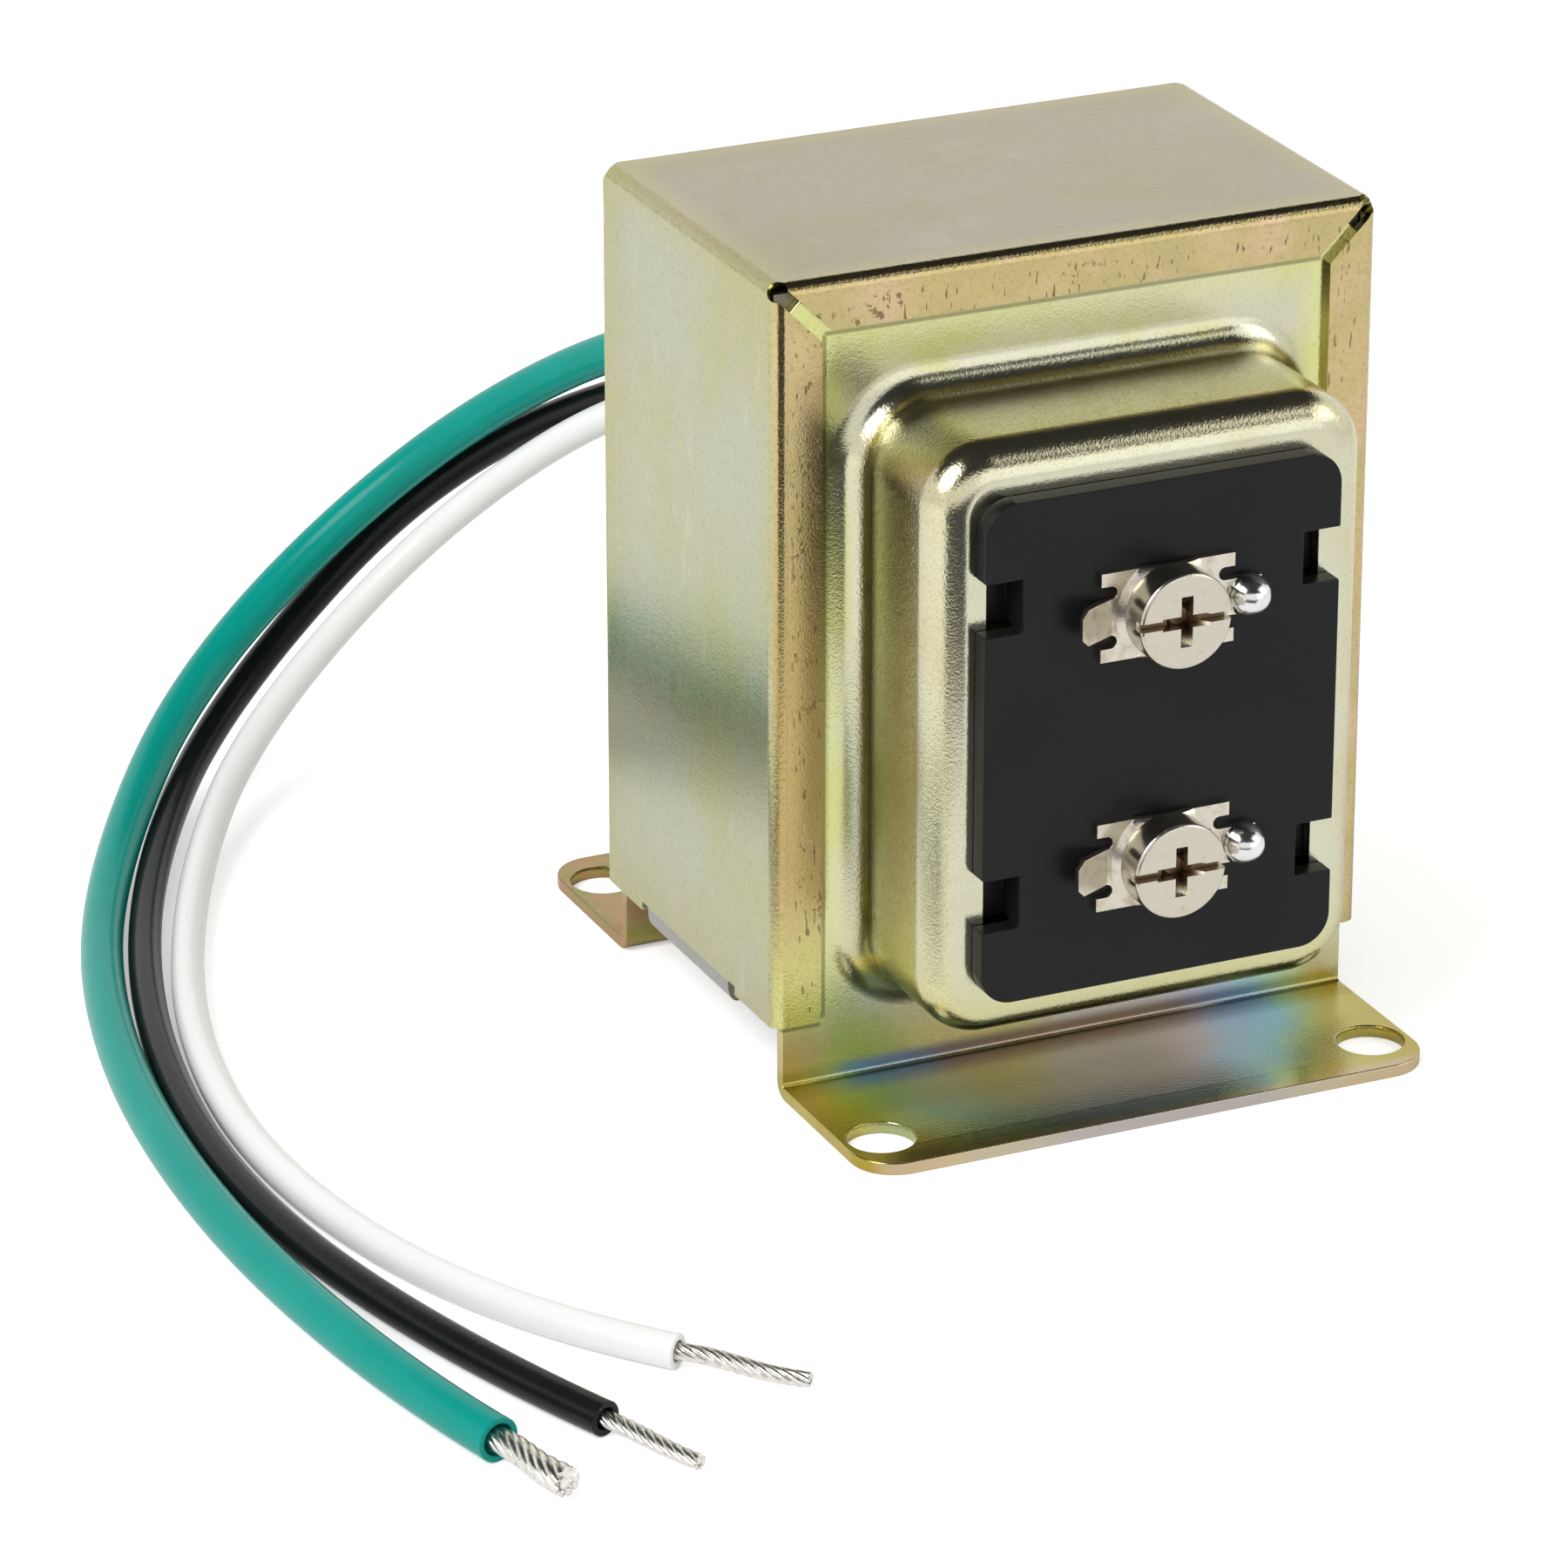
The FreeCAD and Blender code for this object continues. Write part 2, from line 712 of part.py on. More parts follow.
# Sleeve over the joint of a lead and the primary, seated on the coil
def splice_sleeve(points):
    start, direction = start_frame(points)
    radius = line_diameter / 2 + sleeve_wall
    back = (start.y - winding_face) / direction.y + overlap
    sleeve = rod(start - direction * back, direction, radius, back + sleeve_grip)
    half = bobbin_half_length
    coil_side = box(-half, half, 0, winding_face, core_lift, core_top)
    return sleeve.cut(rod(start, direction, line_diameter / 2, sleeve_grip + overlap)).cut(coil_side)


# Lug crimped round the green lead and welded to the roof of the rear dome
def ground_lug():
    start, direction = start_frame(green_points)
    radius = green_diameter / 2 + lug_wall
    roof = dome_top - bell_sheet
    barrel = rod(start, direction, radius, lug_grip)
    strap_back = start.y - lug_wall / 3
    strap = box(
        start.x - lug_width / 2, start.x + lug_width / 2, strap_back, strap_back + lug_wall, start.z, roof
    )
    grip = rod(start - direction, direction, green_diameter / 2, lug_grip + 2 * overlap)
    return barrel.fuse(strap).cut(grip)


e_stack, i_stack = core_stacks()
section_left = -bobbin_half_length + bobbin_flange
section_right = bobbin_half_length - bobbin_flange
primary_winding, primary_tape = winding(section_left, partition_offset - bobbin_flange / 2)
secondary_winding, secondary_tape = winding(partition_offset + bobbin_flange / 2, section_right)

nodes = {
    "housing_wrap": housing_wrap(),
    "front_end_bell": front_end_bell(),
    "rear_end_bell": rear_end_bell(),
    "e_lamination_stack": e_stack,
    "i_lamination_stack": i_stack,
    "bobbin": bobbin(),
    "primary_winding": primary_winding,
    "primary_tape": primary_tape,
    "secondary_winding": secondary_winding,
    "secondary_tape": secondary_tape,
    "terminal_board": terminal_board(),
    "lead_bushing": lead_bushing(),
    "black_splice_sleeve": splice_sleeve(black_points),
    "white_splice_sleeve": splice_sleeve(white_points),
    "ground_lug": ground_lug(),
    "green_lead": lead(green_points, green_diameter),
    "black_lead": lead(black_points, line_diameter),
    "white_lead": lead(white_points, line_diameter),
    "green_conductor": conductor(green_points, green_conductor_diameter, green_strip),
    "black_conductor": conductor(black_points, line_conductor_diameter, black_strip),
    "white_conductor": conductor(white_points, line_conductor_diameter, white_strip),
}
terminals = {
    "terminal_plate": terminal_plate(),
    "terminal_screw": terminal_screw(),
    "solder_joint": solder_joint(),
    "secondary_wire": secondary_wire(),
}
for name, shape in terminals.items():
    for place, level in (("upper", 1), ("lower", -1)):
        copy = shape.copy()
        copy.translate(V(0, -board_face, dome_height + level * terminal_spacing / 2))
        nodes[name + "_" + place] = copy

os.makedirs("parts", exist_ok=True)
for name, shape in nodes.items():
    solids = shape.Solids
    print(name, len(solids), shape.isValid(), round(shape.Volume, 2))
    if len(solids) == 1:
        shape = solids[0]
    shape.exportStep("parts/" + name + ".step")
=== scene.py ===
import math

import bmesh
import bpy
from mathutils import Matrix, Vector


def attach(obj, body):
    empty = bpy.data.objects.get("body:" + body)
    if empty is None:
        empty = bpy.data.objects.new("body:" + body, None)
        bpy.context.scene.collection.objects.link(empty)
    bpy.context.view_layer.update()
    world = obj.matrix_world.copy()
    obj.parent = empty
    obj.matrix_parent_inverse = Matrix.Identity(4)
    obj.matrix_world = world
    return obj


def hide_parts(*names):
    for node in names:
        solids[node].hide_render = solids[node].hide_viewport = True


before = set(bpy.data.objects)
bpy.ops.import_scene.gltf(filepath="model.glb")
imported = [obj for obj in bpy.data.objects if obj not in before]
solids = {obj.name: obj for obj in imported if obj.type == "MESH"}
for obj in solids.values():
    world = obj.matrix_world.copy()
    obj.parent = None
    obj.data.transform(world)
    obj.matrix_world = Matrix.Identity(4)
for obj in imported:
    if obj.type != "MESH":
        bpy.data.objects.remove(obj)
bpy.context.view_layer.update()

# Laminated core: silicon-steel E and I sheets, punched and stacked on edge.
# Only the stack's underside shows, between the two feet, where the cut edges of the
# sheets make fine lines and carry a little brown oxide.


class Flow:
    """A value, colour, vector or shape on its way through a node tree."""

    def __init__(self, tree, socket):
        self.tree = tree
        self.socket = socket

    def node(self, kind, settings, feeds, out=0):
        made = self.tree.nodes.new(kind)
        for name, value in settings.items():
            if name == "stops":
                ramp = made.color_ramp.elements
                for index, (spot, colour) in enumerate(value):
                    stop = ramp[index] if index < 2 else ramp.new(spot)
                    stop.position = spot
                    stop.color = (*colour, 1.0)
            else:
                setattr(made, name, value)
        for name, value in feeds.items():
            if isinstance(value, Flow):
                self.tree.links.new(value.socket, made.inputs[name])
            else:
                made.inputs[name].default_value = value
        return Flow(self.tree, made.outputs[out])

    def sums(self, operation, first, second):
        return self.node("ShaderNodeMath", {"operation": operation}, {0: first, 1: second})

    def __add__(self, other):
        return self.sums("ADD", self, other)

    def __radd__(self, other):
        return self.sums("ADD", other, self)

    def __sub__(self, other):
        return self.sums("SUBTRACT", self, other)

    def __rsub__(self, other):
        return self.sums("SUBTRACT", other, self)

    def __mul__(self, other):
        return self.sums("MULTIPLY", self, other)

    def __rmul__(self, other):
        return self.sums("MULTIPLY", other, self)

    def __truediv__(self, other):
        return self.sums("DIVIDE", self, other)

    def __abs__(self):
        return self.sums("ABSOLUTE", self, 0.0)


def step(value, low, high):
    edges = {"Value": value, "From Min": low, "From Max": high}
    return value.node("ShaderNodeMapRange", {"interpolation_type": "SMOOTHSTEP"}, edges)


def tint(mask, first, second):
    colours = [c if isinstance(c, Flow) else (*c, 1.0) for c in (first, second)]
    feeds = {0: mask, 6: colours[0], 7: colours[1]}
    return mask.node("ShaderNodeMix", {"data_type": "RGBA"}, feeds, 2)


def grain(place, scale, stretch=(1, 1, 1), detail=3.0, rough=0.55, shift=(0, 0, 0)):
    mapping = {"Vector": place, "Location": shift, "Scale": stretch}
    moved = place.node("ShaderNodeMapping", {}, mapping)
    feeds = {"Vector": moved, "Scale": scale, "Detail": detail, "Roughness": rough}
    return place.node("ShaderNodeTexNoise", {}, feeds)


def axes(place):
    return [place.node("ShaderNodeSeparateXYZ", {}, {0: place}, index) for index in range(3)]


def open_finish(name):
    """Starts a material and gives the place on the piece in millimetres."""
    material = bpy.data.materials.new(name)
    material.use_nodes = True
    tree = material.node_tree
    metres = Flow(tree, tree.nodes.new("ShaderNodeTexCoord").outputs["Object"])
    to_millimetres = {"Vector": metres, "Scale": 1000.0}
    return material, metres.node("ShaderNodeVectorMath", {"operation": "SCALE"}, to_millimetres)


def close_finish(material, feeds, relief=None, depth=0.00005):
    """Feeds the shader, with the relief as its bump, the depth in metres."""
    tree = material.node_tree
    shader = tree.nodes["Principled BSDF"]
    if relief is not None:
        height = {"Height": relief, "Distance": depth, "Strength": 1.0}
        feeds = {**feeds, "Normal": relief.node("ShaderNodeBump", {}, height)}
    for name, value in feeds.items():
        if isinstance(value, Flow):
            tree.links.new(value.socket, shader.inputs[name])
        else:
            shader.inputs[name].default_value = value


def paint(name, material):
    shape = solids[name]
    shape.data.materials.clear()
    shape.data.materials.append(material)


lamination, place = open_finish("lamination_edges")
sheet_line = grain(place, 1.0, stretch=(0.05, 4.0, 0.05), detail=2.0)
oxide = grain(place, 0.25, detail=4.0)
edge_colour = tint(step(oxide, 0.45, 0.75), (0.42, 0.42, 0.42), (0.3, 0.24, 0.18))
close_finish(
    lamination,
    {"Base Color": edge_colour, "Metallic": 0.9, "Roughness": 0.3 + 0.3 * sheet_line},
    sheet_line,
    0.00008,
)
for name in ("e_lamination_stack", "i_lamination_stack"):
    paint(name, lamination)

# Bobbin and windings: a natural nylon bobbin in two sections, enamelled copper wound on it
# in layers, and amber film tape round each winding. All of it is closed in by the bells.
# The two ends of the secondary come forward to the terminals.
nylon, place = open_finish("bobbin_nylon")
cloud = grain(place, 0.3, detail=4.0)
nylon_colour = tint(cloud, (0.8, 0.78, 0.7), (0.86, 0.84, 0.78))
close_finish(nylon, {"Base Color": nylon_colour, "Roughness": 0.4 + 0.15 * cloud}, cloud)
paint("bobbin", nylon)

copper, place = open_finish("enamelled_copper")
wave = {"Vector": place, "Scale": 0.35, "Distortion": 0.3}
turns = place.node("ShaderNodeTexWave", {"bands_direction": "X"}, wave)
# Painted shade and highlight: the copper is darker between the turns and lighter on their crowns.
copper_with_painted_shade = tint(turns, (0.42, 0.16, 0.06), (0.72, 0.34, 0.16))
copper_feeds = {"Base Color": copper_with_painted_shade, "Metallic": 1.0, "Roughness": 0.38 - 0.1 * turns}
close_finish(copper, copper_feeds, turns, 0.0002)
for name in ("primary_winding", "secondary_winding"):
    paint(name, copper)
for name in ("secondary_wire_upper", "secondary_wire_lower"):
    paint(name, copper)

film_tape, place = open_finish("film_tape")
crease = grain(place, 0.6, stretch=(0.3, 1, 1), detail=3.0)
tape_colour = tint(crease, (0.7, 0.5, 0.1), (0.8, 0.62, 0.2))
tape_feeds = {"Base Color": tape_colour, "Roughness": 0.25 + 0.2 * crease, "Coat Weight": 0.3}
close_finish(film_tape, tape_feeds, crease)
for name in ("primary_tape", "secondary_tape"):
    paint(name, film_tape)

# Wrap: one strip of zinc-plated steel with a yellow chromate, folded over the core. Its flanges
# hold both bells and meet in open mitres. The flanges are tan where the film is thin, with short
# marks from the folding tool, and the clamping tabs hang low and are scraped to bare steel.
wrap_half_width = 24.55
wrap_half_depth = 15.8
wrap_top = 64.5
wrap_edge = 0.00014
plating_grain = 0.000026
tab_half = 7.5
tab_bare_top = 6.75
tab_root = 6.4
tab_fold = 0.8
tab_drop = 0.6


def dress(name, piece_name, edge):
    """Copies a solid, joins its loose triangles and breaks its sharp edges."""
    flat = math.radians(0.2)
    sharp = math.radians(30.0)
    form = bmesh.new()
    form.from_mesh(solids[name].data)
    bmesh.ops.remove_doubles(form, verts=form.verts, dist=2e-6)
    bmesh.ops.dissolve_limit(form, angle_limit=flat, verts=form.verts, edges=form.edges)
    for face in form.faces:
        face.smooth = True
    shape = bpy.data.meshes.new(piece_name)
    form.to_mesh(shape)
    form.free()
    piece = bpy.data.objects.new(piece_name, shape)
    bpy.context.scene.collection.objects.link(piece)
    bevel = piece.modifiers.new("broken_edge", "BEVEL")
    bevel.width = edge
    bevel.segments = 2
    bevel.limit_method = "ANGLE"
    bevel.angle_limit = sharp
    weighted = piece.modifiers.new("flat_faces", "WEIGHTED_NORMAL")
    weighted.keep_sharp = True
    return piece


def fit(piece, material, slot, *names):
    piece.data.materials.clear()
    piece.data.materials.append(material)
    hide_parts(*names)
    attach(piece, "root")


wrap_zinc, place = open_finish("wrap_chromate")
x, y, z = axes(place)
from_side = wrap_half_width - abs(x)
from_face = wrap_half_depth - abs(y)
from_roof = wrap_top - z
nearest = from_side.sums("MINIMUM", from_side.sums("MINIMUM", from_side, from_face), from_roof)
farthest = from_side.sums("MAXIMUM", from_side.sums("MAXIMUM", from_side, from_face), from_roof)
from_fold = from_side + from_face + from_roof - nearest - farthest
roof = 1 - step(from_roof, 0.2, 0.8)
flange = 1 - step(from_face, 0.2, 0.8)
stain = grain(place, 0.045, detail=4.0, rough=0.6)
cloud = grain(place, 0.12, detail=5.0, rough=0.6, shift=(3.0, 7.0, 1.0))
speck = grain(place, 5.0, detail=2.0, rough=0.6)
brushed = grain(place, 1.6, stretch=(1.0, 1.0, 0.12), detail=3.0)
side_colour = tint(step(stain, 0.38, 0.62), (0.505, 0.515, 0.37), (0.49, 0.495, 0.25))
# Painted shade: the side is darkened towards the bottom, for the shadowed table it reflects, and is
# also darker towards the rear.
side_edge_shade = from_side.sums("MAXIMUM", 1 - step(z, 6.0, 14.0), step(y, 9.0, 16.0))
side_colour = tint(0.4 * side_edge_shade, side_colour, (0.42, 0.4, 0.18))
roof_colour = tint(step(stain, 0.35, 0.65), (0.41, 0.36, 0.265), (0.38, 0.345, 0.2))
roof_end = step(-1 * x + 0.5 * y + 6 * (cloud - 0.5), 24.0, 34.0)
roof_colour = tint(0.7 * roof_end, roof_colour, (0.4, 0.41, 0.17))
flange_colour = tint(step(cloud, 0.36, 0.64), (0.6, 0.47, 0.24), (0.52, 0.43, 0.18))
rosy = step(grain(place, 0.16, detail=3.0, shift=(9.0, 2.0, 4.0)), 0.5, 0.66)
flange_colour = tint(0.6 * rosy, flange_colour, (0.68, 0.49, 0.32))
left_flange = 1 - step(x, -22.5, -12.0)
# Painted reflected shade: the left flange is darkened to brown around mid height, for the dome's
# shade seen in it.
left_flange_shade = left_flange * (1 - step(abs(z - 30.0), 6.0, 26.0))
flange_colour = tint(0.75 * left_flange_shade, flange_colour, (0.5, 0.38, 0.14))
olive = left_flange * (1 - step(z, 7.0, 18.0))
flange_colour = tint(0.8 * olive, flange_colour, (0.68, 0.69, 0.25))
smear = left_flange * step(x, -23.0, -21.4) * (1 - step(abs(z - 33.0), 8.0, 20.0))
flange_colour = tint(0.4 * smear, flange_colour, (0.2, 0.14, 0.05))
colour = tint(flange, tint(roof, side_colour, roof_colour), flange_colour)
colour = tint(0.3 * step(cloud, 0.5, 0.75), colour, (0.62, 0.48, 0.39))
fold_film = (1 - step(from_fold, 0.6, 3.5)) * (1 - flange)
colour = tint(0.4 * fold_film, colour, (0.52, 0.49, 0.21))
dash = grain(place, 1.0, stretch=(3.5, 0.2, 0.7), detail=1.0, shift=(5.0, 0.0, 2.0))
patch = step(grain(place, 0.14, detail=1.0, shift=(2.0, 0.0, 6.0)), 0.52, 0.62)
pit = patch * step(grain(place, 1.7, stretch=(1, 0.2, 1), detail=2.0), 0.6, 0.66)
marks = flange * step(from_fold, 1.2, 2.0) * (step(dash, 0.65, 0.7) + pit)
colour = tint(0.75 * marks, colour, (0.16, 0.1, 0.045))
scuff = flange * step(grain(place, 1.5, detail=4.0, shift=(1.0, 3.0, 8.0)), 0.66, 0.74)
colour = tint(0.4 * scuff, colour, (0.74, 0.72, 0.68))
rubbed = grain(place, 0.5, stretch=(1.0, 0.8, 0.25), detail=5.0, rough=0.7, shift=(4.0, 1.0, 9.0))
rubbed = (1 - flange) * (1 - roof) * step(rubbed, 0.58, 0.7)
colour = tint(0.3 * rubbed, colour, (0.68, 0.66, 0.62))
fine = step(grain(place, 3.4, detail=3.0, rough=0.7, shift=(7.0, 1.0, 3.0)), 0.48, 0.66)
bent = 1 - step(from_fold, 0.7, 1.3)
colour = tint((0.26 + 0.14 * bent) * fine, colour, (0.26, 0.23, 0.13))
# A lighter line along each fold crest: partly edge wear, partly a painted highlight.
crest_wear_and_highlight = 1 - step(from_fold, 0.05, 0.35)
colour = tint(0.3 * crest_wear_and_highlight, colour, (0.84, 0.8, 0.66))
bare = 1 - step(z, tab_bare_top - 0.1, tab_bare_top + 0.1)
bare = bare * (1 - step(abs(y), tab_half, tab_half + 0.1))
colour = tint(bare, colour, (0.4, 0.39, 0.37))
close_finish(
    wrap_zinc,
    {
        "Base Color": colour,
        "Metallic": 1.0,
        "Roughness": 0.13 + 0.06 * brushed + 0.1 * marks + 0.15 * scuff + 0.25 * bare,
    },
    speck * (0.5 + 0.5 * bent) + 0.06 * brushed - 0.3 * marks,
    plating_grain,
)
wrap = dress("housing_wrap", "wrap", wrap_edge)
for vertex in wrap.data.vertices:
    under_root = tab_root - vertex.co.z * 1000
    if abs(vertex.co.y) * 1000 < tab_half + 0.1 and under_root > 0:
        vertex.co.z -= tab_drop * min(1.0, under_root / tab_fold) / 1000
fit(wrap, wrap_zinc, "chromate_steel", "housing_wrap")

# End bells: sheet steel drawn into a flared dome round the coil end and folded out into a drilled
# foot, plated and chromated like the wrap. The film is thickest low down, where it drained: the foot
# turns brown and teal with gold ends, and the plate above it green, blue and pink.
plate_face = 15.1
plate_width = 48.0
dome_face = 28.3
flange_edge = 20.2
flange_foot = 5.62
roof_flange_edge = 60.15
foot_edge = 30.7
pool_centre = 17.0
pool_half_width = 28.0
pool_half_depth = 26.0
bell_edge = 0.00012
bell_sheet = 1.0
fold_radius = 1.0
crisp_radius = 0.35


def edge_shade_line(offset):
    """A fine line of painted shade along the place where the offset in millimetres is nought."""
    return 1 - step(abs(offset), 0.1, 0.24)


def bell_finish(name, shift, toe_film, tarnish):
    """The chromate on one bell, its film shifted, with its own toe and tarnish."""
    material, place = open_finish(name)
    x, y, z = axes(place)
    depth = abs(y)
    cloud = grain(place, 0.11, detail=4.0, rough=0.55, shift=shift)
    speck = grain(place, 5.0, detail=2.0, rough=0.6)
    drawn = grain(place, 1.4, stretch=(1.0, 0.15, 1.0), detail=3.0)
    dome = step(depth, plate_face + 0.3, plate_face + 1.2)
    low = 1 - step(z, 3.0, 9.0)
    plate_colour = tint(step(cloud, 0.38, 0.6), (0.55, 0.55, 0.27), (0.61, 0.6, 0.45))
    dome_colour = tint(step(cloud, 0.4, 0.65), (0.65, 0.65, 0.49), (0.61, 0.58, 0.41))
    colour = tint(dome, plate_colour, dome_colour)
    stretched = dome * (1 - step(depth, dome_face - 0.5, dome_face - 0.05))
    rim = stretched * step(depth, dome_face - 3.0, dome_face - 1.5)
    colour = tint(0.3 * rim, colour, (0.74, 0.64, 0.3))
    dome_low = dome * (1 - step(z, 9.0, 17.0))
    colour = tint(0.6 * dome_low, colour, (0.62, 0.6, 0.24))
    plate_bands = (
        (0.04, (0.64, 0.47, 0.24)),
        (0.1, (0.52, 0.57, 0.1)),
        (0.2, (0.62, 0.64, 0.17)),
        (0.28, (0.84, 0.78, 0.32)),
        (0.38, (0.82, 0.88, 0.5)),
        (0.55, (0.84, 0.93, 0.97)),
        (0.75, (0.94, 0.88, 0.96)),
        (0.87, (0.64, 0.96, 0.97)),
        (0.97, (0.7, 0.62, 0.36)),
    )
    plate_run = x / plate_width + 0.5 + 0.4 * (cloud - 0.5)
    plate_film = cloud.node("ShaderNodeValToRGB", {"stops": plate_bands}, {"Fac": plate_run})
    foot_bands = (
        (0.1, (0.34, 0.26, 0.2)),
        (0.35, (0.29, 0.24, 0.25)),
        (0.48, (0.23, 0.29, 0.41)),
        (0.58, (0.21, 0.36, 0.47)),
        (0.68, (0.38, 0.47, 0.28)),
        (0.78, (0.5, 0.43, 0.1)),
        (1.0, (0.42, 0.3, 0.03)),
    )
    across = x / pool_half_width
    out = (depth - pool_centre) / pool_half_depth
    pool = across.sums("SQRT", across * across + out * out, 0.0) + 0.35 * (cloud - 0.5)
    foot_film = cloud.node("ShaderNodeValToRGB", {"stops": foot_bands}, {"Fac": pool})
    rainbow = tint(step(z, 1.6, 2.6), foot_film, plate_film)
    colour = tint(0.9 * low, colour, rainbow)
    near_wrap = x.sums("MAXIMUM", step(abs(x), 17.5, 20.5), 0.6 * step(z, 56.5, 60.0))
    near_wrap = near_wrap * (1 - dome) * (1 - low)
    colour = tint(0.6 * near_wrap, colour, (0.74, 0.77, 0.28))
    # Painted shade: thin dark lines on the plate along the edges of the wrap's flanges, where they
    # shade it.
    shade_beside = edge_shade_line(x + flange_edge) * step(z, 6.0, 6.4) * (1 - step(z, 59.9, 60.3))
    shade_beneath = edge_shade_line(z - roof_flange_edge) * (1 - step(abs(x), 20.0, 20.4))
    shade_below = edge_shade_line(z - flange_foot) * step(abs(x), 20.3, 20.6)
    flange_shade = shade_beside.sums("MAXIMUM", shade_beside.sums("MAXIMUM", shade_beside, shade_beneath), shade_below)
    colour = tint(0.6 * flange_shade, colour, (0.12, 0.1, 0.04))
    fine = step(grain(place, 5.5, detail=2.0, shift=(7.0, 1.0, 3.0)), 0.5, 0.66)
    colour = tint((0.14 + 0.16 * stretched) * fine, colour, (0.26, 0.23, 0.13))
    toe = step(depth, foot_edge - 1.6, foot_edge - 0.2) * (1 - step(z, 1.5, 2.5))
    colour = tint(0.6 * toe, colour, toe_film)
    blotch = step(grain(place, 0.25, detail=3.0, shift=shift), 0.42, 0.58)
    patina = tint(blotch, (0.4, 0.22, 0.11), (0.26, 0.24, 0.07))
    colour = tint(tarnish * low, colour, patina)
    proud = depth - plate_face
    folded = step(z, 0.9, 1.3) * (1 - step(z, 5.5, 9.5)) * (1 - step(proud, 2.5, 4.0))
    flared = step(proud, 0.1, 0.5) * (1 - step(proud, 2.0, 3.5)) * (1 - step(z, 9.0, 15.0))
    worked = folded.sums("MAXIMUM", folded, flared)
    close_finish(
        material,
        {"Base Color": colour, "Metallic": 1.0, "Roughness": 0.13 + 0.06 * drawn + 0.14 * worked},
        speck * (0.5 + 0.5 * stretched) + 0.03 * drawn,
        plating_grain,
    )
    return material


def crisp_fold(piece):
    """Draws the fold between plate and foot in to the tight corner of the real stamping."""
    shift = fold_radius - crisp_radius
    outer_radius = fold_radius + bell_sheet
    slack = 0.02
    for vertex in piece.data.vertices:
        side = math.copysign(1.0, vertex.co.y)
        out = abs(vertex.co.y) * 1000 - plate_face - fold_radius
        rise = vertex.co.z * 1000 - bell_sheet - fold_radius
        radius = math.hypot(out, rise)
        on_arc = min(abs(radius - fold_radius), abs(radius - outer_radius)) < slack
        if on_arc and out < slack and rise < slack:
            kept = (radius - shift) / radius
            vertex.co.y = side * (plate_face + crisp_radius + out * kept) / 1000
            vertex.co.z = (bell_sheet + crisp_radius + rise * kept) / 1000
    return piece


front_chromate = bell_finish("front_chromate", (0, 0, 0), (0.62, 0.48, 0.4), 0.0)
front_bell = crisp_fold(dress("front_end_bell", "front_bell", bell_edge))
fit(front_bell, front_chromate, "chromate_steel", "front_end_bell")
rear_chromate = bell_finish("rear_chromate", (11, 5, 3), (0.36, 0.2, 0.1), 0.8)
rear_bell = crisp_fold(dress("rear_end_bell", "rear_bell", bell_edge))
fit(rear_bell, rear_chromate, "chromate_steel", "rear_end_bell")

# Terminal board: black phenolic moulding, snapped into the window of the front bell by a leg
# behind each of its edge notches. Fine matte skin with a slight sheen.
board_black, place = open_finish("board_black")
skin = grain(place, 4.0, detail=4.0)
flow = grain(place, 0.12, detail=3.0)
board_colour = tint(flow, (0.009, 0.0085, 0.009), (0.013, 0.012, 0.012))
board_feeds = {
    "Base Color": board_colour,
    "Roughness": 0.28 + 0.1 * skin,
    "Specular IOR Level": 0.17,
}
close_finish(board_black, board_feeds, skin, 0.00001)
board = dress("terminal_board", "board", 0.00018)
fit(board, board_black, "board_plastic", "terminal_board")

# Terminals: pressed nickel-plated plates with four ears, a tongue bent forward at the left, and a
# dished collar under the screw. Binding-head screws with a slot and cross recess. At the right the
# winding end is soldered to the plate. The two sets are alike, one above the other.
terminal_spacing = 0.0196
terminal_height = 0.04125
solder_place = (0.00655, -0.0306, terminal_height)
solder_size = (0.0018, 0.0017, 0.0016)
solder_back = 0.12
nickel_pits = 0.000008
head_face = -33.5
recess_floor = -32.7


def new_tree(name, sizes):
    tree = bpy.data.node_groups.new(name, "GeometryNodeTree")
    tree.interface.new_socket("Geometry", in_out="INPUT", socket_type="NodeSocketGeometry")
    tree.interface.new_socket("Geometry", in_out="OUTPUT", socket_type="NodeSocketGeometry")
    for size, kind in sizes.items():
        tree.interface.new_socket(size, in_out="INPUT", socket_type=kind)
    entry = tree.nodes.new("NodeGroupInput")
    return tree, {socket.name: Flow(tree, socket) for socket in entry.outputs if socket.name}


def end_tree(tree, shape, material):
    real = shape.node("GeometryNodeRealizeInstances", {}, {0: shape})
    feeds = {"Geometry": real, "Material": material}
    coated = shape.node("GeometryNodeSetMaterial", {}, feeds)
    tree.links.new(coated.socket, tree.nodes.new("NodeGroupOutput").inputs[0])


def grow(piece, tree, sizes):
    """Runs a tree on a piece and keeps the result as its plain mesh."""
    modifier = piece.modifiers.new("grown", "NODES")
    modifier.node_group = tree
    for item in tree.interface.items_tree:
        if item.name in sizes:
            modifier[item.identifier] = sizes[item.name]
    bpy.context.view_layer.update()
    ready = piece.evaluated_get(bpy.context.evaluated_depsgraph_get())
    shape = bpy.data.meshes.new_from_object(ready)
    piece.modifiers.clear()
    piece.data = shape
    shape.name = piece.name


row_sizes = {
    "Spacing": "NodeSocketFloat",
    "Count": "NodeSocketInt",
    "Finish": "NodeSocketMaterial",
}
row_tree, entry = new_tree("terminal_row", row_sizes)
drop = entry["Spacing"].node("ShaderNodeCombineXYZ", {}, {"Z": entry["Spacing"] * -1.0})
row_feeds = {"Count": entry["Count"], "Offset": drop}
row = drop.node("GeometryNodeMeshLine", {"mode": "OFFSET"}, row_feeds)
row_points = {"Points": row, "Instance": entry["Geometry"]}
placed = row.node("GeometryNodeInstanceOnPoints", {}, row_points)
end_tree(row_tree, placed, entry["Finish"])


def terminal_pair(piece, material, slot, stem):
    grow(piece, row_tree, {"Spacing": terminal_spacing, "Count": 2, "Finish": material})
    fit(piece, material, slot, stem + "_upper", stem + "_lower")


